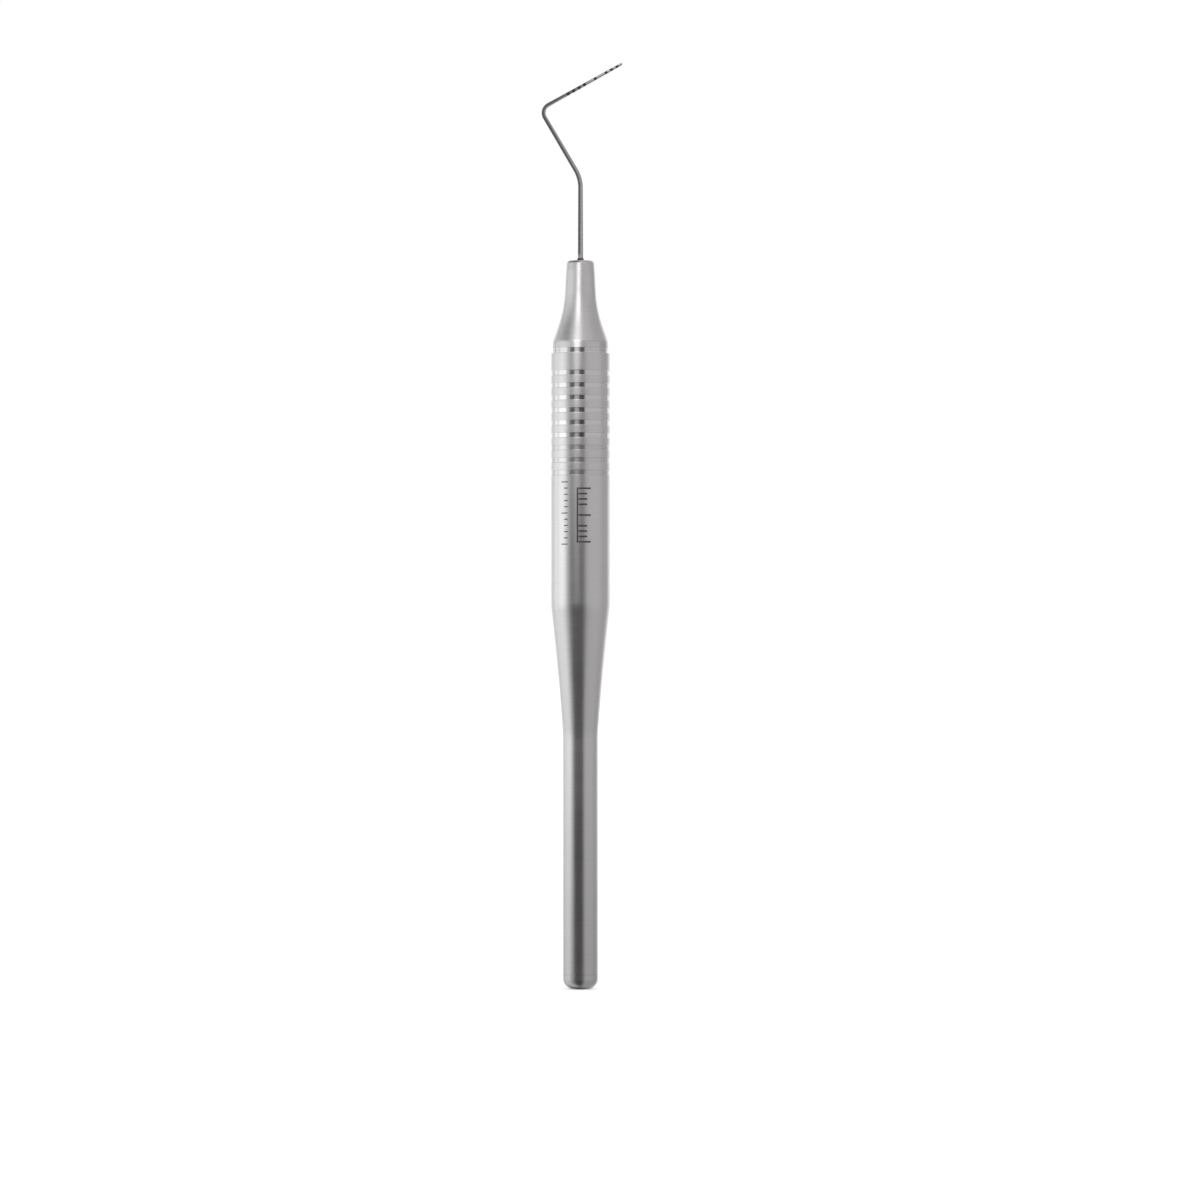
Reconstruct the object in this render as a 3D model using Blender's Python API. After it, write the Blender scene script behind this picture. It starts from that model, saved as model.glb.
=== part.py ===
"""Graduated dental probe, single ended: a taper-ground wire with black depth marks, a brazed
collar, a turned nose cone and a hollow steel handle closed by a tail plug.

Units are metres.  The flat end of the tail is at the origin, the handle runs up +Z, and the
working end bends in the XZ plane with its tip towards +X.
"""

import math

import bmesh
import bpy
from mathutils import Vector

# Heights along the handle, from the flat end of the tail
TAIL_SEAM = 0.0024
TAPER_START = 0.0410
TAPER_END = 0.0618
FIRST_GROOVE = 0.0833
HANDLE_FRONT = 0.1030
NOSE_BAND_TOP = 0.1045
NOSE_FLARE = 0.1097
NOSE_LIP = 0.1160
NOSE_FACE = 0.1176

# Outside radii
TAIL_RADIUS = 0.0028
GRIP_RADIUS = 0.0047
NOSE_BAND_RADIUS = 0.00448
NOSE_FLARE_RADIUS = 0.00262
NOSE_LIP_RADIUS = 0.00229
NOSE_FACE_RADIUS = 0.00214
NOSE_BAND_TAPER = 0.00005

# Roundings of the outside
TAIL_END_ROUNDING = 0.0016
TAPER_SLOPE_AT_TAIL = 0.065
TAPER_SLOPE_AT_GRIP = 0.115
TAPER_SWEEP = 0.416
TAIL_BLEND = 0.030
GRIP_SHOULDER_ROUNDING = 0.010
NOSE_FLARE_SWEEP = 0.020
NOSE_BAND_ROUNDING = 0.0015
NOSE_FACE_ROUNDING = 0.00045

# Grip grooves, and the wider one that hides the joint between handle and nose
GROOVE_COUNT = 9
GROOVE_PITCH = 0.00201
GROOVE_WIDTH = 0.0008
GROOVE_DEPTH = 0.00006
GROOVE_WALL = 0.00004

# Inside of the handle
GRIP_BORE = 0.0037
TAIL_BORE = 0.0019
BORE_TAPER_END = 0.0600
BORE_BLEND = 0.020
SPIGOT_LENGTH = 0.0100
PLUG_SPIGOT_LENGTH = 0.0056
SPIGOT_CHAMFER = 0.0003
RELIEF_RADIUS = 0.0020
RELIEF_TOP = 0.1045
RELIEF_POINT_HEIGHT = 0.0008
FIT_GAP = 0.00002

# Working end: lengths between the corners of its centreline, and how it bends
STRAIGHT_SHANK = 0.01335
MID_SHANK = 0.0129
TIP_LEG = 0.0152
LOWER_BEND = math.radians(30.4)
ELBOW_BEND = math.radians(91.3)
LOWER_BEND_RADIUS = 0.0058
ELBOW_RADIUS = 0.0015
TANG_RADIUS = 0.0006
TANG_TOP = NOSE_FACE - 0.0002
TANG_LENGTH = 0.0130
# Radius of the ground wire at distances from its tip
WIRE_TAPER = ((0.0, 0.00020), (0.0100, 0.000275), (0.0152, 0.000325), (0.0280, 0.000385),
              (0.0420, 0.000445))

# Depth marks, in whole millimetres from the tip
MARKS_MM = (1, 2, 3, 5, 7, 8, 9, 10)
MARK_WIDTH = 0.00046
MARK_DEPTH = 0.00007
MARK_GAP = 0.000012

# Brazed collar round the foot of the shank
COLLAR_BASE_RADIUS = 0.00068
COLLAR_TOP_RADIUS = 0.00050
COLLAR_HEIGHT = 0.00044
COLLAR_GAP = 0.000016

# Fineness and finishing of the faceted surfaces
CHORD_ERROR = 0.00001
HANDLE_SIDES = 40
WIRE_SIDES = 16
TIP_DOME_STEPS = 4
SHARP_ANGLE = math.radians(25)
MERGE_DISTANCE = 1e-7


def clear_scene():
    for thing in list(bpy.data.objects):
        bpy.data.objects.remove(thing)


def finish_for(piece, colour, roughness, metallic):
    material = bpy.data.materials.new(f"{piece.name}_finish")
    material.use_nodes = True
    shader = material.node_tree.nodes["Principled BSDF"]
    shader.inputs["Base Color"].default_value = (*colour, 1)
    shader.inputs["Roughness"].default_value = roughness
    shader.inputs["Metallic"].default_value = metallic
    piece.data.materials.append(material)


def satin_steel(piece):
    finish_for(piece, (0.60, 0.60, 0.59), 0.34, 1.0)


def black_fill(piece):
    finish_for(piece, (0.02, 0.02, 0.022), 0.55, 0.0)


def braze(piece):
    finish_for(piece, (0.30, 0.29, 0.28), 0.45, 1.0)


def bent_line(corners):
    """Stations (distance, point, direction) along straight runs joined by arcs.

    Each corner is (across, up, radius of its bend); a radius of 0 keeps it sharp.
    """
    first = Vector(corners[0][:2])
    heading = (Vector(corners[1][:2]) - first).normalized()
    stations = [(0.0, first, heading)]
    for before, corner, after in zip(corners, corners[1:], corners[2:]):
        here, radius = Vector(corner[:2]), corner[2]
        arriving = (here - Vector(before[:2])).normalized()
        leaving = (Vector(after[:2]) - here).normalized()
        turn = math.atan2(arriving.cross(leaving), arriving.dot(leaving))
        start = here - arriving * radius * math.tan(abs(turn) / 2)
        distance = stations[-1][0] + (start - stations[-1][1]).length
        if radius == 0:
            stations.append((distance, start, arriving))
            continue
        steps = math.ceil(abs(turn) / (2 * math.acos(1 - CHORD_ERROR / radius)))
        inward = Vector((-arriving.y, arriving.x)) * math.copysign(1, turn)
        for step in range(steps + 1):
            angle = abs(turn) * step / steps
            point = start + radius * (arriving * math.sin(angle) + inward * (1 - math.cos(angle)))
            direction = arriving * math.cos(angle) + inward * math.sin(angle)
            stations.append((distance + radius * angle, point, direction))
    last = Vector(corners[-1][:2])
    distance = stations[-1][0] + (last - stations[-1][1]).length
    stations.append((distance, last, (last - stations[-1][1]).normalized()))
    return stations


def outline(corners):
    """The points (radius, height) of a turned outline given by its corners."""
    return [tuple(point) for _, point, _ in bent_line(corners)]


def add_object(name, shell):
    bmesh.ops.recalc_face_normals(shell, faces=shell.faces)
    if shell.calc_volume(signed=True) < 0:
        bmesh.ops.reverse_faces(shell, faces=shell.faces)
    mesh = bpy.data.meshes.new(name)
    shell.to_mesh(mesh)
    shell.free()
    mesh.shade_smooth()
    mesh.set_sharp_from_angle(angle=SHARP_ANGLE)
    piece = bpy.data.objects.new(name, mesh)
    bpy.context.collection.objects.link(piece)
    return piece


def turned(name, points, sides, ring=True):
    """A piece turned about its own Z axis; an outline that isn't a ring starts and ends on it."""
    shell = bmesh.new()
    verts = [shell.verts.new((radius, 0, height)) for radius, height in points]
    edges = [shell.edges.new(pair) for pair in zip(verts, verts[1:])]
    if ring:
        edges.append(shell.edges.new((verts[-1], verts[0])))
    bmesh.ops.spin(shell, geom=verts + edges, axis=(0, 0, 1), cent=(0, 0, 0),
                   angle=math.tau, steps=sides, use_merge=True)
    if not ring:
        bmesh.ops.remove_doubles(shell, verts=shell.verts, dist=MERGE_DISTANCE)
    return add_object(name, shell)


def groove(centre, radius):
    """Corners of one shallow flat-bottomed groove with slightly sloping walls, going up."""
    low, high = centre - GROOVE_WIDTH / 2, centre + GROOVE_WIDTH / 2
    return [(radius, low, 0),
            (radius - GROOVE_DEPTH, low + GROOVE_WALL, 0),
            (radius - GROOVE_DEPTH, high - GROOVE_WALL, 0),
            (radius, high, 0)]


def make_handle_tube():
    # The taper is one long sweep between the lines that leave the tail and reach the grip.
    rise = GRIP_RADIUS - TAIL_RADIUS - TAPER_SLOPE_AT_GRIP * (TAPER_END - TAPER_START)
    run = rise / (TAPER_SLOPE_AT_TAIL - TAPER_SLOPE_AT_GRIP)
    sweep_corner = (TAIL_RADIUS + TAPER_SLOPE_AT_TAIL * run, TAPER_START + run, TAPER_SWEEP)
    front_groove_low = HANDLE_FRONT - GROOVE_WIDTH / 2

    corners = [(TAIL_RADIUS, TAIL_SEAM, 0),
               (TAIL_RADIUS, TAPER_START, TAIL_BLEND),
               sweep_corner,
               (GRIP_RADIUS, TAPER_END, GRIP_SHOULDER_ROUNDING)]
    for number in range(GROOVE_COUNT):
        corners += groove(FIRST_GROOVE + number * GROOVE_PITCH, GRIP_RADIUS)
    corners += [(GRIP_RADIUS, front_groove_low, 0),
                (NOSE_BAND_RADIUS - GROOVE_DEPTH, front_groove_low + GROOVE_WALL, 0),
                (NOSE_BAND_RADIUS - GROOVE_DEPTH, HANDLE_FRONT, 0),
                (GRIP_BORE, HANDLE_FRONT, 0),
                (GRIP_BORE, BORE_TAPER_END, BORE_BLEND),
                (TAIL_BORE, TAPER_START, BORE_BLEND),
                (TAIL_BORE, TAIL_SEAM, 0)]
    satin_steel(turned("handle_tube", outline(corners), HANDLE_SIDES))


def make_tail_plug():
    spigot = TAIL_BORE - FIT_GAP
    seam = TAIL_SEAM - FIT_GAP
    top = seam + PLUG_SPIGOT_LENGTH
    corners = [(0, 0, 0),
               (TAIL_RADIUS, 0, TAIL_END_ROUNDING),
               (TAIL_RADIUS, seam, 0),
               (spigot, seam, 0),
               (spigot, top - SPIGOT_CHAMFER, 0),
               (spigot - SPIGOT_CHAMFER, top, 0),
               (0, top, 0)]
    satin_steel(turned("tail_plug", outline(corners), HANDLE_SIDES, ring=False))


def make_nose_cone():
    spigot = GRIP_BORE - FIT_GAP
    rear = HANDLE_FRONT + FIT_GAP
    spigot_end = rear - SPIGOT_LENGTH
    tang_bore = TANG_RADIUS + FIT_GAP
    groove_top = HANDLE_FRONT + GROOVE_WIDTH / 2
    corners = [(tang_bore, NOSE_FACE, 0),
               (NOSE_FACE_RADIUS, NOSE_FACE, NOSE_FACE_ROUNDING),
               (NOSE_LIP_RADIUS, NOSE_LIP, NOSE_BAND_ROUNDING),
               (NOSE_FLARE_RADIUS, NOSE_FLARE, NOSE_FLARE_SWEEP),
               (NOSE_BAND_RADIUS - NOSE_BAND_TAPER, NOSE_BAND_TOP, NOSE_BAND_ROUNDING),
               (NOSE_BAND_RADIUS, groove_top, 0),
               (NOSE_BAND_RADIUS - GROOVE_DEPTH, groove_top - GROOVE_WALL, 0),
               (NOSE_BAND_RADIUS - GROOVE_DEPTH, rear, 0),
               (spigot, rear, 0),
               (spigot, spigot_end + SPIGOT_CHAMFER, 0),
               (spigot - SPIGOT_CHAMFER, spigot_end, 0),
               (RELIEF_RADIUS, spigot_end, 0),
               (RELIEF_RADIUS, RELIEF_TOP, 0),
               (tang_bore, RELIEF_TOP + RELIEF_POINT_HEIGHT, 0),
               (tang_bore, NOSE_FACE, 0)]
    satin_steel(turned("nose_cone", outline(corners)[:-1], HANDLE_SIDES))


def wire_radius(distance):
    """Radius of the ground wire at a distance from its tip."""
    for (near, near_radius), (far, far_radius) in zip(WIRE_TAPER, WIRE_TAPER[1:]):
        if distance <= far:
            share = (distance - near) / (far - near)
            return near_radius + share * (far_radius - near_radius)
    return WIRE_TAPER[-1][1]


def wire_line():
    """Stations of the working end's centreline, from its tip down to the tang's end."""
    lower = Vector((0, NOSE_FACE + STRAIGHT_SHANK))
    lean = math.radians(90) + LOWER_BEND
    elbow = lower + MID_SHANK * Vector((math.cos(lean), math.sin(lean)))
    tip = elbow + TIP_LEG * Vector((math.cos(lean - ELBOW_BEND), math.sin(lean - ELBOW_BEND)))
    return bent_line([(*tip, 0), (*elbow, ELBOW_RADIUS), (*lower, LOWER_BEND_RADIUS),
                      (0, TANG_TOP - TANG_LENGTH, 0)])


def place_on(line, distance):
    """The point and direction at a distance along a line, at a station or on a straight run."""
    for (near, start, direction), (far, end, _) in zip(line, line[1:]):
        if distance < far:
            share = (distance - near) / (far - near)
            return start.lerp(end, share), direction
    return line[-1][1], line[-1][2]


def across(direction):
    """The direction at right angles to a line's direction, in the plane that it bends in."""
    return Vector((direction.y, 0, -direction.x))


def wire_outline(line):
    """(distance, radius) pairs along the working end, from the tip's pole to the tang's pole."""
    tip_radius = WIRE_TAPER[0][1]
    pairs = []
    for step in range(TIP_DOME_STEPS + 1):
        angle = math.radians(90) * step / TIP_DOME_STEPS
        pairs.append((tip_radius * (1 - math.cos(angle)), tip_radius * math.sin(angle)))
    for mark in MARKS_MM:
        low = mark / 1000 - MARK_WIDTH / 2
        high = low + MARK_WIDTH
        pairs += [(low, wire_radius(low)), (low, wire_radius(low) - MARK_DEPTH),
                  (high, wire_radius(high) - MARK_DEPTH), (high, wire_radius(high))]
    pairs += [(distance, wire_radius(distance)) for distance, _, _ in line[1:-1]]

    end = line[-1][0]
    shoulder = end - TANG_LENGTH
    pairs += [(shoulder, wire_radius(shoulder)), (shoulder, TANG_RADIUS),
              (end - SPIGOT_CHAMFER, TANG_RADIUS), (end, TANG_RADIUS - SPIGOT_CHAMFER), (end, 0)]
    return pairs


def make_working_end(line):
    shell = bmesh.new()
    rings = []
    for distance, radius in wire_outline(line):
        (x, z), direction = place_on(line, distance)
        side = across(direction)
        count = WIRE_SIDES if radius > 0 else 1
        ring = []
        for number in range(count):
            angle = math.tau * number / count
            spoke = side * math.cos(angle) + Vector((0, 1, 0)) * math.sin(angle)
            ring.append(shell.verts.new(Vector((x, 0, z)) + radius * spoke))
        rings.append(ring)
    for near, far in zip(rings, rings[1:]):
        for number in range(WIRE_SIDES):
            following = (number + 1) % WIRE_SIDES
            if len(near) == 1:
                shell.faces.new((near[0], far[following], far[number]))
            elif len(far) == 1:
                shell.faces.new((near[number], near[following], far[0]))
            else:
                shell.faces.new((near[number], near[following], far[following], far[number]))
    satin_steel(add_object("working_end", shell))


def make_depth_mark(line, mark):
    """One ring of black fill in its groove, flush with the tapering wire."""
    distance = mark / 1000
    half = MARK_WIDTH / 2 - MARK_GAP
    inner = wire_radius(distance + half) - MARK_DEPTH + MARK_GAP
    corners = [(inner, -half, 0),
               (wire_radius(distance - half), -half, 0),
               (wire_radius(distance + half), half, 0),
               (inner, half, 0)]
    piece = turned(f"depth_mark_{mark}mm", outline(corners), WIRE_SIDES)
    (x, z), direction = place_on(line, distance)
    piece.location = (x, 0, z)
    piece.rotation_euler = (0, math.atan2(direction.x, direction.y), 0)
    black_fill(piece)


def make_shank_collar():
    """The ring of braze that seals the shank's foot, standing on the nose cone's face."""
    inner = wire_radius(WIRE_TAPER[-1][0]) + COLLAR_GAP
    base = NOSE_FACE + COLLAR_GAP
    corners = [(inner, base, 0),
               (COLLAR_BASE_RADIUS, base, 0),
               (COLLAR_TOP_RADIUS, base + COLLAR_HEIGHT / 4, COLLAR_HEIGHT / 2),
               (COLLAR_TOP_RADIUS, base + COLLAR_HEIGHT, 0),
               (inner, base + COLLAR_HEIGHT, 0)]
    braze(turned("shank_collar", outline(corners), WIRE_SIDES))


def main():
    clear_scene()
    make_handle_tube()
    make_tail_plug()
    make_nose_cone()
    make_shank_collar()
    line = wire_line()
    make_working_end(line)
    for mark in MARKS_MM:
        make_depth_mark(line, mark)


main()
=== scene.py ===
"""Looks of the graduated dental probe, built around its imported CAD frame.

Units are metres, in the frame's own axes: the tail's flat end is at the origin, the handle runs up
+Z and the working end bends in the XZ plane, with its tip towards +X.
"""

import math
from typing import NamedTuple

import bmesh
import bpy
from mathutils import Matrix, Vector


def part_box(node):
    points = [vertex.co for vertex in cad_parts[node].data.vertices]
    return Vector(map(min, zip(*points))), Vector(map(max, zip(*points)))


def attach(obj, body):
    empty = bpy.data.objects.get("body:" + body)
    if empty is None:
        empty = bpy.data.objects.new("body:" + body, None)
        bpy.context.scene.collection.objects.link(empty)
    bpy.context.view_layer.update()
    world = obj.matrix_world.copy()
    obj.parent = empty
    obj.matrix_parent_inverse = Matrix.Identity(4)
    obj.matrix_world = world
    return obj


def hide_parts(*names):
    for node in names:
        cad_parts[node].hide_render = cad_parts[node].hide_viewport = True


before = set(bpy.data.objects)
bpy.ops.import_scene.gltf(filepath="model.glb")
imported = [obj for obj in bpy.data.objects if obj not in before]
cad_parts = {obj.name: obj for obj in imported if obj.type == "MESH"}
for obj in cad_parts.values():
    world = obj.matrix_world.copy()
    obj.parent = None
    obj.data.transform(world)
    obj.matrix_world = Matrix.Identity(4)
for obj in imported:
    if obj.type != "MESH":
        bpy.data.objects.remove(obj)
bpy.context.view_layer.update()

# Datums of the CAD parts
TAIL_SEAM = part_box("handle_tube")[0].z
HANDLE_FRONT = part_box("handle_tube")[1].z
GRIP_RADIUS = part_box("handle_tube")[1].x
TAIL_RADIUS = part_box("tail_plug")[1].x
PLUG_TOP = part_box("tail_plug")[1].z
NOSE_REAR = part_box("nose_cone")[0].z
NOSE_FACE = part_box("nose_cone")[1].z
NOSE_BAND_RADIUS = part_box("nose_cone")[1].x
TANG_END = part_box("working_end")[0].z
COLLAR_FOOT, COLLAR_TOP = (corner.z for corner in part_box("shank_collar"))
COLLAR_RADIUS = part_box("shank_collar")[1].x

# Handle between its datums
TAPER_START = 0.0410
TAPER_END = 0.0618
TAPER_SLOPE_AT_TAIL = 0.065
TAPER_SLOPE_AT_GRIP = 0.115
TAPER_SWEEP = 0.416
TAIL_BLEND = 0.030
TAIL_END_ROUNDING = 0.0016
GRIP_SHOULDER_ROUNDING = 0.010
GRIP_BORE = 0.0037
TAIL_BORE = 0.0019
BORE_TAPER_END = 0.0600
BORE_BLEND = 0.020

# Grip grooves, and the half groove on each side of the joint between handle and nose
FIRST_GROOVE = 0.0833
GROOVE_COUNT = 9
# The lowest grooves take a rougher steel whose darker tone is painted shade
SHADE_PAINTED_GROOVES = 3
GROOVE_PITCH = 0.00201
GROOVE_WIDTH = 0.0008
GROOVE_DEPTH = 0.00006
GROOVE_WALL = 0.00002
EDGE_ROUNDING = 0.00002
EDGE_BREAK = 0.00001

# Nose cone
NOSE_BAND_TOP = 0.1045
BAND_TAPER = 0.00005
NOSE_FLARE = 0.1097
NOSE_LIP = 0.1160
NOSE_FLARE_RADIUS = 0.00262
NOSE_LIP_RADIUS = 0.00229
NOSE_FACE_RADIUS = 0.00214
NOSE_FLARE_SWEEP = 0.020
NOSE_BAND_ROUNDING = 0.0015
NOSE_FACE_ROUNDING = 0.00045
RELIEF_RADIUS = 0.0020
RELIEF_TOP = 0.1045
RELIEF_POINT_HEIGHT = 0.0008
SPIGOT_CHAMFER = 0.0003
FIT_GAP = 0.00002

# Working end: lengths between the corners of its centreline, and how it bends
STRAIGHT_SHANK = 0.01335
MID_SHANK = 0.0129
TIP_LEG = 0.0152
LOWER_BEND = math.radians(30.4)
ELBOW_BEND = math.radians(91.3)
LOWER_BEND_RADIUS = 0.0058
ELBOW_RADIUS = 0.0015
TANG_RADIUS = 0.0006
TANG_LENGTH = 0.0130
# Radius of the ground wire at distances from its tip
WIRE_TAPER = ((0.0, 0.00020), (0.0100, 0.000275), (0.0152, 0.000325), (0.0280, 0.000385),
              (0.0420, 0.000445))
MARKS_MM = (1, 2, 3, 5, 7, 8, 9, 10)
MARK_WIDTH = 0.00046
MARK_DEPTH = 0.00007
MARK_GAP = 0.000012

# Braze ring, as shares of its height and of its reach beyond the wire
BRAZE_RIM = 0.12
BRAZE_WAIST_HEIGHT = 0.35
BRAZE_WAIST_REACH = 0.3
BRAZE_HOLLOW = 0.5

# Laser marks on the plain part of the grip; places round it are lengths along its surface
ETCH_LIFT = 0.000001
ETCH_THICKNESS = 0.000004
ETCH_STEP = 0.0001
ETCH_MIN_STEPS = 2
LONG_MARK_EVERY = 5
GRADUATION_FOOT = 0.0720
GRADUATION_PITCH = 0.00086
GRADUATION_LINE = 0.00028
GRADUATION_LEFT = -0.0003
GRADUATION_RIGHT = 0.0011
GRADUATION_LONG_RIGHT = 0.0017
SPINE_LEFT = -0.0006
SPINE_RIGHT = -0.00034
RULE_FOOT = 0.0717
RULE_LINE = 0.00016
RULE_RIGHT = -0.0021
RULE_LENGTH = 0.0007
RULE_LONG_LENGTH = 0.0012

# Fineness and finishing of the turned and swept surfaces
CHORD_ERROR = 0.000002
MIN_ARC_STEPS = 3
SUPPORT = 0.00003
HANDLE_SIDES = 160
WIRE_SIDES = 40
TIP_DOME_STEPS = 10
MERGE_DISTANCE = 1e-7
SHARP_ANGLE = math.radians(40)
WORN_STEEL_EDGE = 0.00005
WORN_FILL_EDGE = 0.00003

# Places in the list of steels of a turned piece, whose first is the land's
POLISHED = 1
# The third steel is a rougher copy of the groove steel, painted darker as painted shade
SHADE_PAINTED_STEEL = 2

# Light tent round the probe
TENT_RADIUS = 0.20
TENT_FOOT = -0.16
TENT_TOP = 0.46
TENT_STEP = 0.01
TENT_SECTOR = 2
TENT_AXIS_GAP = 0.001
DARK = 0.05
FOOT_SHADE = 0.27
FOOT_SHADE_START = 0.02
FOOT_SHADE_LENGTH = 0.03

# Dark flag beside the wire, flared so that it clears the elbow
FLAG_RADIUS = 0.009
FLAG_FOOT_RADIUS = 0.0055
FLAG_FOOT = 0.1187
FLAG_WAIST = 0.1260
FLAG_TOP = 0.1580
FLAG_AZIMUTHS = range(-116, -3, 4)
FLAG_COLOUR = (0.18, 0.167, 0.167, 1)

# Floor and surround
ROOM_RADIUS = 3.0

# Camera
LENS_MM = 135
SENSOR_MM = 36
CAMERA_DISTANCE = 0.7271
AIM = Vector((0.00315, 0, 0.0628))

# Tints of the lamps
COOL = (0.985, 1.0, 1.005)
WARM = (1.0, 0.98, 0.982)


class Lamp(NamedTuple):
    """One soft panel of the light tent.

    Azimuth is in degrees from the camera's side, positive towards +X; height is in metres; fade is
    how far the light takes to fall off beyond an edge, as (degrees, metres).
    """

    azimuth: tuple
    height: tuple
    radiance: float
    fade: tuple
    tint: tuple = (1.0, 1.0, 1.0)


# Seen from the front, the handle mirrors the tent's wall up to a height of about 0.12, and the
# nose mirrors the wall above that.
LAMPS = (
    # Left side of the handle
    Lamp((-93, -63), (0.06, 0.09), 0.55, (3, 0.05), COOL),
    Lamp((-124, -105), (0.06, 0.09), 0.30, (3, 0.05), COOL),
    Lamp((-124, -63), (0.03, 0.105), 0.90, (10, 0.05), COOL),
    Lamp((-124, -72), (-0.16, -0.02), 0.90, (10, 0.05)),
    # Left side of the nose
    Lamp((-124, -62), (0.155, 0.185), 0.55, (5, 0.05), COOL),
    Lamp((-124, -62), (0.145, 0.46), 0.20, (6, 0.025), COOL),
    # Grey step between the handle's left side and its dark core
    Lamp((-60, -44), (-0.16, 0.12), 0.42, (2, 0.05)),
    Lamp((-60, -44), (0.09, 0.12), 0.10, (2, 0.02), COOL),
    Lamp((-40, -32), (0.075, 0.112), 0.10, (2, 0.02)),
    # Glint on the nose's band, and the bright streak up from it
    Lamp((-48, 6), (0.128, 0.140), 0.68, (14, 0.008)),
    Lamp((-25, -4), (0.127, 0.235), 1.22, (2, 0.02)),
    Lamp((-33, 0), (0.150, 0.235), 0.35, (4, 0.02)),
    Lamp((-31, -1), (0.255, 0.46), 0.58, (4, 0.02)),
    # Faint lines of light in and beside the grip's dark core
    Lamp((-22, -8), (0.080, 0.112), 0.36, (3, 0.02)),
    Lamp((17, 22), (0.075, 0.12), 0.28, (3, 0.04), WARM),
    # Right side of the handle
    Lamp((28, 82), (-0.16, 0.12), 0.48, (14, 0.04), WARM),
    Lamp((28, 82), (0.015, 0.12), 0.07, (14, 0.02), WARM),
    Lamp((96, 136), (-0.16, 0.11), 0.43, (14, 0.04), WARM),
    # Right side of the nose, and soft fill on its flare
    Lamp((-56, 136), (0.145, 0.46), 0.44, (6, 0.025), WARM),
    Lamp((-30, 40), (0.20, 0.46), 0.14, (40, 0.04), WARM),
    # Behind the probe
    Lamp((142, 168), (-0.16, 0.46), 0.95, (4, 0.04)),
    Lamp((-168, -136), (-0.16, 0.18), 0.86, (8, 0.04)),
    Lamp((-168, -136), (0.22, 0.46), 0.50, (8, 0.04)),
    Lamp((168, 192), (-0.16, 0.46), 0.15, (6, 0.04)),
)


class Shading:
    """A principled material under construction, one node at a time."""

    def __init__(self, name):
        self.material = bpy.data.materials.new(name)
        self.material.use_nodes = True
        self.tree = self.material.node_tree
        self.shader = self.tree.nodes["Principled BSDF"]
        self.place = self.node("ShaderNodeTexCoord").outputs["Object"]

    def feed(self, socket, value):
        if isinstance(value, bpy.types.NodeSocket):
            self.tree.links.new(value, socket)
        else:
            socket.default_value = value

    def node(self, kind, inputs=None, **settings):
        made = self.tree.nodes.new(kind)
        for name, value in settings.items():
            setattr(made, name, value)
        for name, value in (inputs or {}).items():
            self.feed(made.inputs[name], value)
        return made

    def set(self, **sockets):
        for name, value in sockets.items():
            self.feed(self.shader.inputs[name.replace("_", " ")], value)

    def noise(self, per_metre, detail=3.0):
        """Noise with a number of features per metre along x, y and z."""
        mapped = self.node("ShaderNodeMapping", {"Vector": self.place, "Scale": per_metre})
        grain = self.node("ShaderNodeTexNoise", {"Vector": mapped.outputs["Vector"],
                                                 "Scale": 1.0, "Detail": detail})
        return grain.outputs["Fac"]

    def ranged(self, value, low, high):
        """A noise value, which is mostly between 0.3 and 0.7, spread from low to high."""
        made = self.node("ShaderNodeMapRange", {"Value": value, "From Min": 0.3, "From Max": 0.7,
                                                "To Min": low, "To Max": high})
        return made.outputs["Result"]

    def maths(self, operation, first, second):
        made = self.node("ShaderNodeMath", operation=operation)
        self.feed(made.inputs[0], first)
        self.feed(made.inputs[1], second)
        return made.outputs["Value"]

    def blend(self, share, first, second):
        made = self.node("ShaderNodeMix", {"Factor": share}, data_type="RGBA")
        self.feed(made.inputs["A"], first)
        self.feed(made.inputs["B"], second)
        return made.outputs["Result"]

    def bump(self, height, distance, strength=1.0):
        made = self.node("ShaderNodeBump", {"Height": height, "Distance": distance,
                                            "Strength": strength})
        return made.outputs["Normal"]

    def worn_edges(self, radius):
        """1 on edges and 0 on open surface, by how far rounding to a radius turns the normal."""
        rounded = self.node("ShaderNodeBevel", {"Radius": radius}, samples=4)
        flat = self.node("ShaderNodeNewGeometry").outputs["Normal"]
        match = self.node("ShaderNodeVectorMath", operation="DOT_PRODUCT")
        self.feed(match.inputs[0], rounded.outputs["Normal"])
        self.feed(match.inputs[1], flat)
        made = self.node("ShaderNodeMapRange", {"Value": match.outputs["Value"], "From Min": 0.80,
                                                "From Max": 0.99, "To Min": 1.0, "To Max": 0.0})
        return made.outputs["Result"]


def steel(name, tone, contrast, roughness, streak_depth, anisotropy=0.0):
    """Turned stainless steel: fine rings round the handle's axis, faint clouds, bright edges."""
    finish = Shading(name)
    rings = finish.noise((200, 200, 7500), detail=4.0)
    clouds = finish.noise((90, 90, 60))
    specks = finish.noise((5200, 5200, 3800), detail=2.0)
    edges = finish.worn_edges(WORN_STEEL_EDGE)
    shade = finish.maths("MULTIPLY", finish.ranged(rings, 1 - contrast, 1.0),
                         finish.ranged(clouds, 0.97, 1.0))
    body = finish.blend(shade, (0, 0, 0, 1), (*tone, 1))
    low, high = roughness
    rough = finish.maths("MULTIPLY", finish.ranged(rings, low, high),
                         finish.ranged(clouds, 0.95, 1.05))
    rough = finish.maths("ADD", rough, finish.ranged(specks, -0.01, 0.01))
    finish.set(Base_Color=finish.blend(edges, body, (0.80, 0.79, 0.78, 1)),
               Metallic=1.0,
               Roughness=finish.maths("SUBTRACT", rough, finish.maths("MULTIPLY", edges, 0.08)),
               Normal=finish.bump(rings, streak_depth))
    if anisotropy:
        finish.set(Anisotropic=anisotropy, Anisotropic_Rotation=0.25)
    return finish.material


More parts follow.
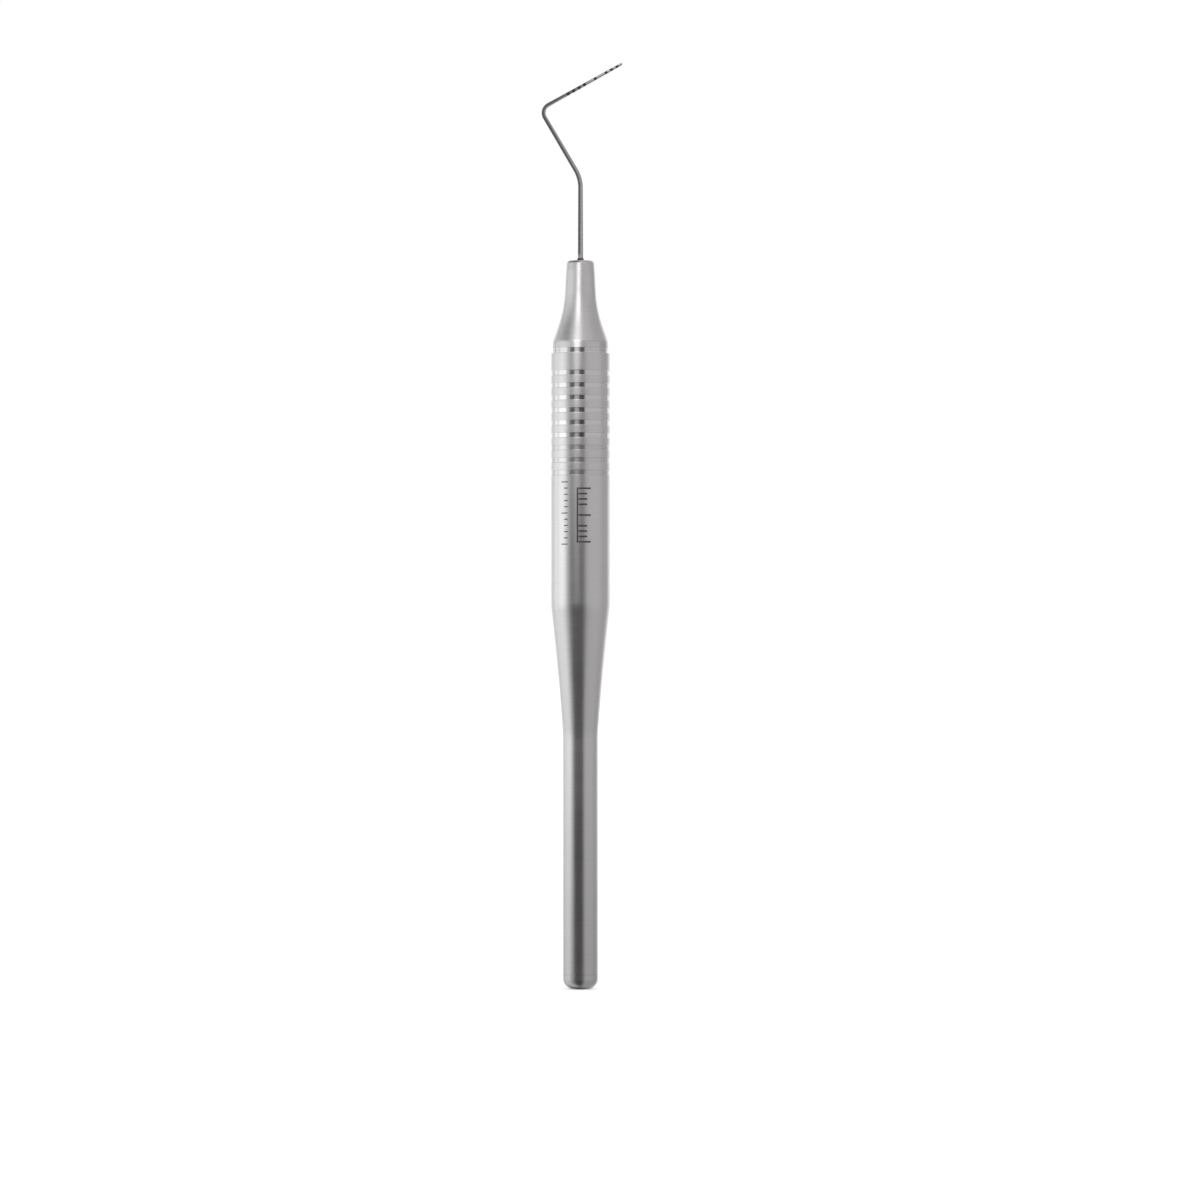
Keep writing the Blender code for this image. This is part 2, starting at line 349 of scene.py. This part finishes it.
def wire_steel():
    """Ground and hand-polished wire: no rings, only short scratches and a cloudy sheen."""
    finish = Shading("ground_wire_steel")
    scratches = finish.noise((3000, 9000, 1500), detail=4.0)
    clouds = finish.noise((700, 700, 700))
    body = finish.blend(finish.ranged(scratches, 0.0, 1.0), (0.50, 0.49, 0.49, 1),
                        (0.56, 0.55, 0.55, 1))
    finish.set(Base_Color=body, Metallic=1.0,
               Roughness=finish.maths("ADD", finish.ranged(scratches, 0.24, 0.32),
                                      finish.ranged(clouds, -0.03, 0.03)),
               Normal=finish.bump(scratches, 0.0000002))
    return finish.material


def mark_fill():
    """Black fill of the depth marks, slightly grainy and worn thin at its edges."""
    finish = Shading("black_mark_fill")
    grain = finish.noise((14000, 14000, 14000), detail=4.0)
    edges = finish.worn_edges(WORN_FILL_EDGE)
    body = finish.blend(finish.ranged(grain, 0.0, 1.0), (0.010, 0.010, 0.011, 1),
                        (0.030, 0.029, 0.029, 1))
    finish.set(Base_Color=finish.blend(edges, body, (0.07, 0.07, 0.07, 1)),
               Roughness=finish.ranged(grain, 0.42, 0.60),
               Normal=finish.bump(grain, 0.000002))
    return finish.material


def braze_metal():
    """Dull, slightly oxidised braze."""
    finish = Shading("braze_collar")
    grain = finish.noise((9000, 9000, 9000), detail=5.0)
    body = finish.blend(finish.ranged(grain, 0.0, 1.0), (0.15, 0.145, 0.14, 1),
                        (0.30, 0.29, 0.28, 1))
    finish.set(Base_Color=body, Metallic=1.0, Roughness=finish.ranged(grain, 0.38, 0.55),
               Normal=finish.bump(grain, 0.000006))
    return finish.material


def etched_steel():
    """Steel darkened by a laser: matt grey oxide with the beam's fine stipple."""
    finish = Shading("laser_darkened_steel")
    stipple = finish.noise((16000, 16000, 16000), detail=2.0)
    body = finish.blend(finish.ranged(stipple, 0.0, 1.0), (0.045, 0.043, 0.043, 1),
                        (0.11, 0.105, 0.105, 1))
    finish.set(Base_Color=body, Metallic=0.6, Roughness=finish.ranged(stipple, 0.45, 0.60),
               Normal=finish.bump(stipple, 0.000001))
    return finish.material


def bent_line(corners):
    """Stations (distance, point, direction) along straight runs joined by arcs.

    Each corner is (across, up, radius of its bend); a radius of 0 keeps it sharp.  A long run has a
    support station near each end, so that its shading stays flat.
    """
    stations = [(0.0, Vector(corners[0][:2]), None)]

    def run_to(end):
        distance, start, _ = stations[-1]
        length = (end - start).length
        direction = (end - start).normalized()
        long_enough = length > 4 * SUPPORT
        steps = (SUPPORT, length - SUPPORT, length) if long_enough else (length,)
        stations.extend((distance + step, start + direction * step, direction) for step in steps)

    for before, corner, after in zip(corners, corners[1:], corners[2:]):
        here, radius = Vector(corner[:2]), corner[2]
        arriving = (here - Vector(before[:2])).normalized()
        leaving = (Vector(after[:2]) - here).normalized()
        turn = math.atan2(arriving.cross(leaving), arriving.dot(leaving))
        start = here - arriving * radius * math.tan(abs(turn) / 2)
        run_to(start)
        if radius == 0:
            continue
        distance = stations[-1][0]
        step_angle = 2 * math.acos(1 - CHORD_ERROR / radius)
        steps = max(MIN_ARC_STEPS, math.ceil(abs(turn) / step_angle))
        inward = Vector((-arriving.y, arriving.x)) * math.copysign(1, turn)
        for step in range(1, steps + 1):
            angle = abs(turn) * step / steps
            point = start + radius * (arriving * math.sin(angle) + inward * (1 - math.cos(angle)))
            direction = arriving * math.cos(angle) + inward * math.sin(angle)
            stations.append((distance + radius * angle, point, direction))
    run_to(Vector(corners[-1][:2]))
    stations[0] = (*stations[0][:2], stations[1][2])
    return stations


def outline(corners):
    """The points (radius, height) of a turned outline given by its corners."""
    return [tuple(point) for _, point, _ in bent_line(corners)]


def add_piece(name, shell, materials, nodes=()):
    """A finished piece of the probe from a closed shell."""
    bmesh.ops.recalc_face_normals(shell, faces=shell.faces)
    if shell.calc_volume(signed=True) < 0:
        bmesh.ops.reverse_faces(shell, faces=shell.faces)
    mesh = bpy.data.meshes.new(name)
    shell.to_mesh(mesh)
    shell.free()
    mesh.shade_smooth()
    mesh.set_sharp_from_angle(angle=SHARP_ANGLE)
    for material in materials:
        mesh.materials.append(material)
    piece = bpy.data.objects.new(name, mesh)
    bpy.context.scene.collection.objects.link(piece)
    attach(piece, "root")
    if nodes:
        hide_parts(*nodes)
    return piece


def turned_shell(points, sides, ring=True):
    """A shell turned about the Z axis; an outline that isn't a ring starts and ends on it."""
    shell = bmesh.new()
    verts = [shell.verts.new((radius, 0, height)) for radius, height in points]
    edges = [shell.edges.new(pair) for pair in zip(verts, verts[1:])]
    if ring:
        edges.append(shell.edges.new((verts[-1], verts[0])))
    bmesh.ops.spin(shell, geom=verts + edges, axis=(0, 0, 1), cent=(0, 0, 0),
                   angle=math.tau, steps=sides, use_merge=True)
    if not ring:
        bmesh.ops.remove_doubles(shell, verts=shell.verts, dist=MERGE_DISTANCE)
    return shell


def finish_faces(shell, finish, low, high, outer):
    """Gives a finish to the outside faces that lie between two heights and within a radius."""
    for face in shell.faces:
        x, y, z = face.calc_center_median()
        if low < z < high and GRIP_BORE + GROOVE_DEPTH < math.hypot(x, y) < outer:
            face.material_index = finish


def groove(centre, radius):
    """Corners of one shallow groove with softened edges, going up."""
    low, high = centre - GROOVE_WIDTH / 2, centre + GROOVE_WIDTH / 2
    return [(radius, low, EDGE_ROUNDING),
            (radius - GROOVE_DEPTH, low + GROOVE_WALL, EDGE_ROUNDING),
            (radius - GROOVE_DEPTH, high - GROOVE_WALL, EDGE_ROUNDING),
            (radius, high, EDGE_ROUNDING)]


def make_handle(land_steel, groove_steel, shade_painted_groove_steel):
    # The taper is one long sweep between the lines that leave the tail and reach the grip.
    rise = GRIP_RADIUS - TAIL_RADIUS - TAPER_SLOPE_AT_GRIP * (TAPER_END - TAPER_START)
    run = rise / (TAPER_SLOPE_AT_TAIL - TAPER_SLOPE_AT_GRIP)
    sweep_corner = (TAIL_RADIUS + TAPER_SLOPE_AT_TAIL * run, TAPER_START + run, TAPER_SWEEP)
    front_groove = HANDLE_FRONT - GROOVE_WIDTH / 2
    front_radius = NOSE_BAND_RADIUS - GROOVE_DEPTH

    corners = [(TAIL_RADIUS - EDGE_BREAK, TAIL_SEAM, 0),
               (TAIL_RADIUS, TAIL_SEAM + EDGE_BREAK, 0),
               (TAIL_RADIUS, TAPER_START, TAIL_BLEND),
               sweep_corner,
               (GRIP_RADIUS, TAPER_END, GRIP_SHOULDER_ROUNDING)]
    for number in range(GROOVE_COUNT):
        corners += groove(FIRST_GROOVE + number * GROOVE_PITCH, GRIP_RADIUS)
    corners += [(GRIP_RADIUS, front_groove, EDGE_ROUNDING),
                (front_radius, front_groove + GROOVE_WALL, EDGE_ROUNDING),
                (front_radius, HANDLE_FRONT - EDGE_BREAK, 0),
                (front_radius - EDGE_BREAK, HANDLE_FRONT, 0),
                (GRIP_BORE, HANDLE_FRONT, 0),
                (GRIP_BORE, BORE_TAPER_END, BORE_BLEND),
                (TAIL_BORE, TAPER_START, BORE_BLEND),
                (TAIL_BORE, TAIL_SEAM, 0)]
    shell = turned_shell(outline(corners), HANDLE_SIDES)
    # The lowest grooves get the rougher steel painted darker as painted shade; the other grooves
    # get the polished steel
    land_above_shade_painted = FIRST_GROOVE + (SHADE_PAINTED_GROOVES - 0.5) * GROOVE_PITCH
    groove_radius = GRIP_RADIUS - GROOVE_DEPTH / 2
    finish_faces(shell, POLISHED, land_above_shade_painted, HANDLE_FRONT, groove_radius)
    finish_faces(shell, SHADE_PAINTED_STEEL, FIRST_GROOVE - GROOVE_WIDTH, land_above_shade_painted, groove_radius)
    add_piece("handle_turned", shell, (land_steel, groove_steel, shade_painted_groove_steel),
              ["handle_tube"])


def make_tail_plug(land_steel):
    spigot = TAIL_BORE - FIT_GAP
    seam = TAIL_SEAM - FIT_GAP
    corners = [(0, 0, 0),
               (TAIL_RADIUS, 0, TAIL_END_ROUNDING),
               (TAIL_RADIUS, seam - EDGE_BREAK, 0),
               (TAIL_RADIUS - EDGE_BREAK, seam, 0),
               (spigot, seam, 0),
               (spigot, PLUG_TOP - SPIGOT_CHAMFER, 0),
               (spigot - SPIGOT_CHAMFER, PLUG_TOP, 0),
               (0, PLUG_TOP, 0)]
    shell = turned_shell(outline(corners), HANDLE_SIDES, ring=False)
    add_piece("tail_plug_turned", shell, (land_steel,), ["tail_plug"])


def make_nose_cone(land_steel, groove_steel, shade_painted_groove_steel):
    spigot = GRIP_BORE - FIT_GAP
    rear = HANDLE_FRONT + FIT_GAP
    tang_bore = TANG_RADIUS + FIT_GAP
    groove_top = HANDLE_FRONT + GROOVE_WIDTH / 2
    front_radius = NOSE_BAND_RADIUS - GROOVE_DEPTH
    corners = [(tang_bore, NOSE_FACE, 0),
               (NOSE_FACE_RADIUS, NOSE_FACE, NOSE_FACE_ROUNDING),
               (NOSE_LIP_RADIUS, NOSE_LIP, NOSE_BAND_ROUNDING),
               (NOSE_FLARE_RADIUS, NOSE_FLARE, NOSE_FLARE_SWEEP),
               (NOSE_BAND_RADIUS - BAND_TAPER, NOSE_BAND_TOP, NOSE_BAND_ROUNDING),
               (NOSE_BAND_RADIUS, groove_top, EDGE_ROUNDING),
               (front_radius, groove_top - GROOVE_WALL, EDGE_ROUNDING),
               (front_radius, rear + EDGE_BREAK, 0),
               (front_radius - EDGE_BREAK, rear, 0),
               (spigot, rear, 0),
               (spigot, NOSE_REAR + SPIGOT_CHAMFER, 0),
               (spigot - SPIGOT_CHAMFER, NOSE_REAR, 0),
               (RELIEF_RADIUS, NOSE_REAR, 0),
               (RELIEF_RADIUS, RELIEF_TOP, 0),
               (tang_bore, RELIEF_TOP + RELIEF_POINT_HEIGHT, 0),
               (tang_bore, NOSE_FACE, 0)]
    shell = turned_shell(outline(corners)[:-1], HANDLE_SIDES)
    finish_faces(shell, POLISHED, HANDLE_FRONT, groove_top, NOSE_BAND_RADIUS - GROOVE_DEPTH / 2)
    # The nose's band gets the rougher steel whose darker tone is painted shade
    finish_faces(shell, SHADE_PAINTED_STEEL, groove_top, NOSE_BAND_TOP, NOSE_BAND_RADIUS)
    add_piece("nose_cone_turned", shell, (land_steel, groove_steel, shade_painted_groove_steel),
              ["nose_cone"])


def make_collar(material):
    """The ring of braze round the shank's foot, with a hollow flank like a solder fillet."""
    inner = wire_radius(WIRE_TAPER[-1][0]) + FIT_GAP
    height = COLLAR_TOP - COLLAR_FOOT
    waist = inner + (COLLAR_RADIUS - inner) * BRAZE_WAIST_REACH
    corners = [(inner, COLLAR_FOOT, 0),
               (COLLAR_RADIUS, COLLAR_FOOT, 0),
               (COLLAR_RADIUS, COLLAR_FOOT + height * BRAZE_RIM, EDGE_BREAK),
               (waist, COLLAR_FOOT + height * BRAZE_WAIST_HEIGHT, height * BRAZE_HOLLOW),
               (inner + EDGE_BREAK, COLLAR_TOP, 0),
               (inner, COLLAR_TOP, 0)]
    shell = turned_shell(outline(corners), WIRE_SIDES)
    add_piece("shank_collar_brazed", shell, (material,), ["shank_collar"])


def wire_radius(distance):
    """Radius of the ground wire at a distance from its tip."""
    for (near, near_radius), (far, far_radius) in zip(WIRE_TAPER, WIRE_TAPER[1:]):
        if distance <= far:
            share = (distance - near) / (far - near)
            return near_radius + share * (far_radius - near_radius)
    return WIRE_TAPER[-1][1]


def wire_line():
    """Stations of the working end's centreline, from its tip down to the tang's end."""
    lower = Vector((0, NOSE_FACE + STRAIGHT_SHANK))
    lean = math.radians(90) + LOWER_BEND
    elbow = lower + MID_SHANK * Vector((math.cos(lean), math.sin(lean)))
    tip = elbow + TIP_LEG * Vector((math.cos(lean - ELBOW_BEND), math.sin(lean - ELBOW_BEND)))
    return bent_line([(*tip, 0), (*elbow, ELBOW_RADIUS), (*lower, LOWER_BEND_RADIUS),
                      (0, TANG_END, 0)])


def place_on(line, distance):
    """The point and direction at a distance along a line, at a station or on a straight run."""
    for (near, start, direction), (far, end, _) in zip(line, line[1:]):
        if distance < far:
            share = (distance - near) / (far - near)
            return start.lerp(end, share), direction
    return line[-1][1], line[-1][2]


def wire_outline(line):
    """(distance, radius) pairs along the working end, from the tip's pole to the tang's pole."""
    tip_radius = WIRE_TAPER[0][1]
    pairs = []
    for step in range(TIP_DOME_STEPS + 1):
        angle = math.radians(90) * step / TIP_DOME_STEPS
        pairs.append((tip_radius * (1 - math.cos(angle)), tip_radius * math.sin(angle)))
    for mark in MARKS_MM:
        low = mark / 1000 - MARK_WIDTH / 2
        high = low + MARK_WIDTH
        pairs += [(low - EDGE_BREAK, wire_radius(low)), (low, wire_radius(low) - EDGE_BREAK),
                  (low, wire_radius(low) - MARK_DEPTH), (high, wire_radius(high) - MARK_DEPTH),
                  (high, wire_radius(high) - EDGE_BREAK), (high + EDGE_BREAK, wire_radius(high))]
    end = line[-1][0]
    shoulder = end - TANG_LENGTH
    pairs += [(distance, wire_radius(distance)) for distance, _, _ in line
              if pairs[-1][0] < distance < shoulder]
    pairs += [(shoulder, wire_radius(shoulder)), (shoulder, TANG_RADIUS),
              (end - SPIGOT_CHAMFER, TANG_RADIUS), (end, TANG_RADIUS - SPIGOT_CHAMFER), (end, 0)]
    return pairs


def swept_shell(line, pairs, sides):
    """A shell of rings round a line, from (distance, radius) pairs; a radius of 0 is a pole."""
    shell = bmesh.new()
    rings = []
    for distance, radius in pairs:
        (x, z), direction = place_on(line, distance)
        side = Vector((direction.y, 0, -direction.x))
        count = sides if radius > 0 else 1
        ring = []
        for number in range(count):
            angle = math.tau * number / count
            spoke = side * math.cos(angle) + Vector((0, 1, 0)) * math.sin(angle)
            ring.append(shell.verts.new(Vector((x, 0, z)) + radius * spoke))
        rings.append(ring)
    for near, far in zip(rings, rings[1:]):
        for number in range(sides):
            following = (number + 1) % sides
            if len(near) == 1:
                shell.faces.new((near[0], far[following], far[number]))
            elif len(far) == 1:
                shell.faces.new((near[number], near[following], far[0]))
            else:
                shell.faces.new((near[number], near[following], far[following], far[number]))
    return shell


def make_working_end(line, material):
    shell = swept_shell(line, wire_outline(line), WIRE_SIDES)
    add_piece("working_end_ground", shell, (material,), ["working_end"])


def make_depth_mark(line, mark, material):
    """One ring of black fill in its groove, a touch below the wire's surface at its edges."""
    distance = mark / 1000
    half = MARK_WIDTH / 2 - MARK_GAP
    inner = wire_radius(distance + half) - MARK_DEPTH + MARK_GAP
    corners = [(inner, -half, 0),
               (wire_radius(distance - half) - EDGE_BREAK, -half, 0),
               (wire_radius(distance - half), EDGE_BREAK - half, 0),
               (wire_radius(distance + half), half - EDGE_BREAK, 0),
               (wire_radius(distance + half) - EDGE_BREAK, half, 0),
               (inner, half, 0)]
    shell = turned_shell(outline(corners), WIRE_SIDES)
    (x, z), direction = place_on(line, distance)
    along = Vector((direction.x, 0, direction.y))
    turn = along.to_track_quat("Z", "Y").to_matrix().to_4x4()
    bmesh.ops.transform(shell, matrix=turn, verts=shell.verts)
    bmesh.ops.translate(shell, vec=(x, 0, z), verts=shell.verts)
    add_piece(f"depth_mark_fill_{mark}mm", shell, (material,),
              [f"depth_mark_{mark}mm"])


def add_etched_bar(shell, left, right, low, high):
    """A thin curved bar on the grip, between two places round it and two heights.

    Places round the grip are lengths along its surface from the camera's side.
    """
    steps = max(ETCH_MIN_STEPS, math.ceil((right - left) / ETCH_STEP))
    inner = GRIP_RADIUS + ETCH_LIFT
    outer = inner + ETCH_THICKNESS
    rings = []
    for step in range(steps + 1):
        angle = (left + (right - left) * step / steps) / GRIP_RADIUS
        x, y = math.sin(angle), -math.cos(angle)
        section = ((outer, low), (outer, high), (inner, high), (inner, low))
        rings.append([shell.verts.new((x * radius, y * radius, height))
                      for radius, height in section])
    corners = len(rings[0])
    for near, far in zip(rings, rings[1:]):
        for number in range(corners):
            following = (number + 1) % corners
            shell.faces.new((near[number], near[following], far[following], far[number]))
    shell.faces.new(rings[0])
    shell.faces.new(reversed(rings[-1]))


def make_etched_scales(material):
    """Two plain reference scales: the probe's own graduation, and a fine millimetre rule.

    The graduation is drawn smaller than life, at its own pitch.
    """
    graduation = bmesh.new()
    for mark in (0, *MARKS_MM):
        height = GRADUATION_FOOT + GRADUATION_PITCH * mark
        right = GRADUATION_RIGHT if mark % LONG_MARK_EVERY else GRADUATION_LONG_RIGHT
        add_etched_bar(graduation, GRADUATION_LEFT, right, height, height + GRADUATION_LINE)
    spine_top = GRADUATION_FOOT + GRADUATION_PITCH * MARKS_MM[-1] + GRADUATION_LINE
    add_etched_bar(graduation, SPINE_LEFT, SPINE_RIGHT, GRADUATION_FOOT, spine_top)
    add_piece("etched_graduation", graduation, (material,))

    rule = bmesh.new()
    for millimetre in range(MARKS_MM[-1] + 1):
        height = RULE_FOOT + millimetre / 1000
        length = RULE_LENGTH if millimetre % LONG_MARK_EVERY else RULE_LONG_LENGTH
        add_etched_bar(rule, RULE_RIGHT - length, RULE_RIGHT, height, height + RULE_LINE)
    add_piece("etched_millimetre_rule", rule, (material,))


def window(value, low, high, fade):
    """1 between low and high, easing to 0 over a distance beyond each."""
    outside = max(low - value, value - high, 0)
    share = max(0, 1 - outside / fade)
    return share * share * (3 - 2 * share)


def tent_colour(azimuth, height):
    """Light of the tent's wall; its closed ends carry the front's pattern on to the back."""
    if height in (TENT_FOOT, TENT_TOP) and abs(azimuth) > 90:
        azimuth = math.copysign(180 - abs(azimuth), azimuth)
    total = Vector((0, 0, 0))
    for lamp in LAMPS:
        middle = sum(lamp.azimuth) / 2
        nearest = middle + (azimuth - middle + 180) % 360 - 180
        share = window(nearest, *lamp.azimuth, lamp.fade[0])
        share *= window(height, *lamp.height, lamp.fade[1])
        total += Vector(lamp.tint) * lamp.radiance * share
    total *= 1 - FOOT_SHADE * (1 - window(height, FOOT_SHADE_START, TENT_TOP, FOOT_SHADE_LENGTH))
    return (*(total + Vector((DARK, DARK, DARK))), 1)


def glowing(name, attribute=None):
    """A white emission material, or one that takes its colour from a mesh attribute."""
    material = bpy.data.materials.new(name)
    material.use_nodes = True
    tree = material.node_tree
    tree.nodes.clear()
    glow = tree.nodes.new("ShaderNodeEmission")
    output = tree.nodes.new("ShaderNodeOutputMaterial")
    tree.links.new(glow.outputs["Emission"], output.inputs["Surface"])
    if attribute:
        painted = tree.nodes.new("ShaderNodeAttribute")
        painted.attribute_name = attribute
        tree.links.new(painted.outputs["Color"], glow.inputs["Color"])
    return material


def curved_panel(name, sections, azimuths, colour_at):
    """A glowing sheet round the Z axis, which shows only in reflections.

    It goes through (radius, height) sections at azimuths in degrees; colour_at(azimuth, height)
    gives its light.
    """
    shell = bmesh.new()
    rows = []
    colours = []
    for radius, height in sections:
        row = []
        for azimuth in azimuths:
            x, y = math.sin(math.radians(azimuth)), -math.cos(math.radians(azimuth))
            row.append(shell.verts.new((radius * x, radius * y, height)))
            colours += colour_at(azimuth, height)
        rows.append(row)
    for near, far in zip(rows, rows[1:]):
        for number in range(len(azimuths) - 1):
            shell.faces.new((near[number], far[number], far[number + 1], near[number + 1]))
    mesh = bpy.data.meshes.new(name)
    shell.to_mesh(mesh)
    shell.free()
    mesh.attributes.new("glow", "FLOAT_COLOR", "POINT").data.foreach_set("color", colours)
    mesh.materials.append(glowing(f"{name}_glow", "glow"))
    panel = bpy.data.objects.new(name, mesh)
    bpy.context.scene.collection.objects.link(panel)
    panel.visible_camera = False
    panel.visible_diffuse = False
    panel.visible_shadow = False


def make_lights():
    rows = round((TENT_TOP - TENT_FOOT) / TENT_STEP)
    wall = [(TENT_RADIUS, TENT_FOOT + TENT_STEP * row) for row in range(rows + 1)]
    sections = [(TENT_AXIS_GAP, TENT_FOOT), *wall, (TENT_AXIS_GAP, TENT_TOP)]
    azimuths = [step * TENT_SECTOR - 180 for step in range(360 // TENT_SECTOR + 1)]
    curved_panel("light_tent", sections, azimuths, tent_colour)

    # A small dark flag beside the wire darkens its left side, as on a product table.
    flag = [(FLAG_FOOT_RADIUS, FLAG_FOOT), (FLAG_RADIUS, FLAG_WAIST), (FLAG_RADIUS, FLAG_TOP)]
    curved_panel("wire_flag", flag, FLAG_AZIMUTHS, lambda azimuth, height: FLAG_COLOUR)


def make_room():
    """A pale floor and a pale surround, which the camera sees and the steel doesn't mirror."""
    shell = bmesh.new()
    bmesh.ops.create_circle(shell, cap_ends=True, radius=ROOM_RADIUS, segments=128)
    mesh = bpy.data.meshes.new("floor")
    shell.to_mesh(mesh)
    shell.free()
    finish = Shading("pale_floor")
    finish.set(Base_Color=(0.80, 0.80, 0.80, 1), Roughness=0.9,
               Emission_Color=(1, 1, 1, 1), Emission_Strength=0.35)
    mesh.materials.append(finish.material)
    floor = bpy.data.objects.new("floor", mesh)

    shell = bmesh.new()
    bmesh.ops.create_uvsphere(shell, u_segments=64, v_segments=32, radius=ROOM_RADIUS)
    mesh = bpy.data.meshes.new("surround")
    shell.to_mesh(mesh)
    shell.free()
    mesh.materials.append(glowing("surround_glow"))
    surround = bpy.data.objects.new("surround", mesh)
    for piece in (floor, surround):
        bpy.context.scene.collection.objects.link(piece)
        piece.visible_glossy = False
    surround.visible_shadow = False


def make_camera():
    data = bpy.data.cameras.new("camera")
    data.lens = LENS_MM
    data.sensor_width = SENSOR_MM
    camera = bpy.data.objects.new("camera", data)
    camera.location = AIM - Vector((0, CAMERA_DISTANCE, 0))
    camera.rotation_euler = (math.radians(90), 0, 0)
    bpy.context.scene.collection.objects.link(camera)
    bpy.context.scene.camera = camera
    bpy.context.scene.view_settings.view_transform = "Standard"


def make_probe():
    land_steel = steel("satin_turned_steel", tone=(0.72, 0.71, 0.713), contrast=0.06,
                       roughness=(0.30, 0.37), streak_depth=0.0000004, anisotropy=0.2)
    groove_steel = steel("polished_groove_steel", tone=(0.74, 0.73, 0.73), contrast=0.05,
                         roughness=(0.12, 0.16), streak_depth=0.0000001)
    # A rougher copy of the groove steel whose darker tone is painted shade, for the lowest grip
    # grooves and the nose's band
    shade_painted_groove_steel = steel("shade_painted_groove_steel", tone=(0.67, 0.66, 0.66), contrast=0.05,
                              roughness=(0.21, 0.28), streak_depth=0.0000002)
    make_handle(land_steel, groove_steel, shade_painted_groove_steel)
    make_tail_plug(land_steel)
    make_nose_cone(land_steel, groove_steel, shade_painted_groove_steel)
    make_collar(braze_metal())
    line = wire_line()
    make_working_end(line, wire_steel())
    fill = mark_fill()
    for mark in MARKS_MM:
        make_depth_mark(line, mark, fill)
    make_etched_scales(etched_steel())


make_camera()
make_room()
make_lights()
make_probe()
